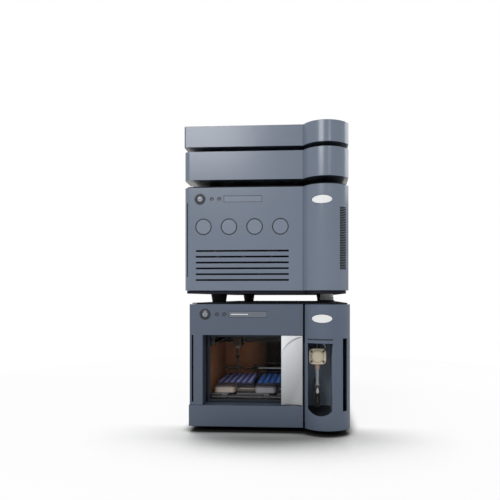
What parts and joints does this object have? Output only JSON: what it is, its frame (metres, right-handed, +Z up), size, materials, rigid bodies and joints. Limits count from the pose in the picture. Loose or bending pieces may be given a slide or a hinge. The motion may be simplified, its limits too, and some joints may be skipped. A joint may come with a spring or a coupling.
{
  "type": "liquid chromatography system",
  "caption": "Bench-top liquid chromatography stack: glass-doored sampler, pump module, thin column heater and open bottle tray, with round column covers at the front right.",
  "frame": {"origin": "centre of the stack's overall footprint, on the bench under the feet", "axes": "+X to the right seen from the front, +Y from the front to the back, +Z up"},
  "size_m": [0.344, 0.712, 0.6365],
  "materials": {
    "upper_cover_paint": "light blue-grey, fine-textured paint on moulded covers",
    "sampler_cover_paint": "slate blue-grey, fine-textured paint on moulded covers",
    "case_paint": "blue-grey powder coat",
    "base_steel": "near-black powder coat",
    "badge_enamel": "blank white gloss",
    "cap_plastic": "blue-grey, satin",
    "button_plastic": "blue-grey, satin",
    "lamp_lens": "frosted lens",
    "display_glass": "smoked display window",
    "door_frame_plastic": "slate, satin",
    "clear_pane": "clear",
    "handle_silver": "silver metallic paint",
    "liner_steel": "dark, satin",
    "shelf_smoke": "smoked, glossy",
    "carrier_plastic": "pale grey, satin",
    "plate_blue": "blue, satin",
    "latch_white": "pale grey",
    "rail_steel": "ground steel",
    "drive_black": "black, satin",
    "needle_steel": "stainless steel",
    "recess_black": "black, matt",
    "valve_plastic": "beige, satin",
    "collar_plastic": "dusky pink, satin",
    "syringe_glass": "clear",
    "plunger_plastic": "white tip, dark driver",
    "tube_plastic": "translucent tubing",
    "wash_plastic": "olive brown, satin",
    "foot_rubber": "black",
    "collar_grey": "grey"
  },
  "bodies": {
    "stack": {"bottle_tray": "upper_cover_paint", "carrier_shelf": "shelf_smoke", "chamber_liner": "liner_steel", "drip_cup": "recess_black", "fan_frames": "drive_black", "fluidics_panel": "recess_black", "guide_rods": "rail_steel", "heater_front": "upper_cover_paint", "heater_lid": "case_paint", "heater_pan": "case_paint", "hinge_pins": "rail_steel", "levelling_collar": "collar_grey", "loop_tube": "tube_plastic", "power_inlets": "drive_black", "pump_base_frame": "base_steel", "pump_bulkhead": "case_paint", "pump_heads": "needle_steel", "pump_lid": "case_paint", "pump_rear_panel": "case_paint", "pump_side_panels": "case_paint", "sampler_base_pan": "base_steel", "sampler_display": "display_glass", "sampler_fascia": "sampler_cover_paint", "sampler_feet": "foot_rubber", "sampler_lamps": "lamp_lens", "sampler_lid": "case_paint", "sampler_rear_panel": "case_paint", "sampler_side_panels": "case_paint", "sampler_skirt": "sampler_cover_paint", "shelf_latches": "latch_white", "stacking_feet": "foot_rubber", "syringe_barrel": "syringe_glass", "syringe_bracket": "recess_black", "syringe_collar": "collar_plastic", "tube_nuts": "recess_black", "valve_body": "valve_plastic", "valve_screws": "rail_steel", "wash_station": "wash_plastic"},
    "sampler_door": {"door_frame": "door_frame_plastic", "door_pane": "clear_pane", "door_handle": "handle_silver"},
    "carrier_slide_left": {"carrier_left": "carrier_plastic", "plate_left": "plate_blue"},
    "carrier_slide_right": {"carrier_right": "carrier_plastic", "plate_right": "plate_blue"},
    "gantry": {"gantry_beam": "drive_black"},
    "carriage": {"needle_carriage": "drive_black"},
    "needle_bar": {"needle": "needle_steel"},
    "column_cover": {"column_door": "sampler_cover_paint", "sampler_badge": "badge_enamel"},
    "plunger": {"syringe_plunger": "plunger_plastic"},
    "sampler_power_button": {"sampler_button": "button_plastic"},
    "pump_front": {"pump_door": "upper_cover_paint", "pump_badge": "badge_enamel", "pump_lamps": "lamp_lens", "pump_display": "display_glass", "port_caps": "cap_plastic"},
    "pump_power_button": {"pump_button": "button_plastic"},
    "sampler_fan": {"sampler_fan_rotor": "drive_black"},
    "pump_fan": {"pump_fan_rotor": "drive_black"}
  },
  "joints": [
    {"name": "sampler_door_hinge", "type": "hinge", "parent": "stack", "child": "sampler_door", "pos_m": [-0.128, -0.291, 0.13], "axis": [0, 0, -1], "range_deg": [0, 90]},
    {"name": "carrier_left_slide", "type": "slide", "parent": "stack", "child": "carrier_slide_left", "axis": [0, -1, 0], "range_m": [0, 0.052]},
    {"name": "carrier_right_slide", "type": "slide", "parent": "stack", "child": "carrier_slide_right", "axis": [0, -1, 0], "range_m": [0, 0.16]},
    {"name": "gantry_slide", "type": "slide", "parent": "stack", "child": "gantry", "axis": [0, 1, 0], "range_m": [-0.045, 0.054]},
    {"name": "carriage_slide", "type": "slide", "parent": "gantry", "child": "carriage", "axis": [1, 0, 0], "range_m": [-0.018, 0.13]},
    {"name": "needle_lift", "type": "slide", "parent": "carriage", "child": "needle_bar", "axis": [0, 0, 1], "range_m": [-0.012, 0.015]},
    {"name": "column_cover_hinge", "type": "hinge", "parent": "stack", "child": "column_cover", "pos_m": [0.1655, -0.317, 0.13], "axis": [0, 0, 1], "range_deg": [0, 100]},
    {"name": "syringe_stroke", "type": "slide", "parent": "stack", "child": "plunger", "axis": [0, 0, 1], "range_m": [-0.007, 0.012]},
    {"name": "sampler_power_press", "type": "slide", "parent": "stack", "child": "sampler_power_button", "axis": [0, 1, 0], "range_m": [0, 0.001], "stiffness_N_per_m": 400},
    {"name": "pump_door_hinge", "type": "hinge", "parent": "stack", "child": "pump_front", "pos_m": [-0.162, -0.262, 0.4], "axis": [0, 0, -1], "range_deg": [0, 110]},
    {"name": "pump_power_press", "type": "slide", "parent": "pump_front", "child": "pump_power_button", "axis": [0, 1, 0], "range_m": [0, 0.001], "stiffness_N_per_m": 400},
    {"name": "sampler_fan_spin", "type": "hinge", "parent": "stack", "child": "sampler_fan", "pos_m": [0.09, 0.339, 0.15], "axis": [0, 1, 0], "continuous": true},
    {"name": "pump_fan_spin", "type": "hinge", "parent": "stack", "child": "pump_fan", "pos_m": [0.09, 0.339, 0.4], "axis": [0, 1, 0], "continuous": true}
  ],
  "couplings": [
    {"joint": "carrier_left_slide", "follows": "sampler_door_hinge", "m_per_rad": 0.033},
    {"joint": "carrier_right_slide", "follows": "sampler_door_hinge", "m_per_rad": 0.1}
  ]
}
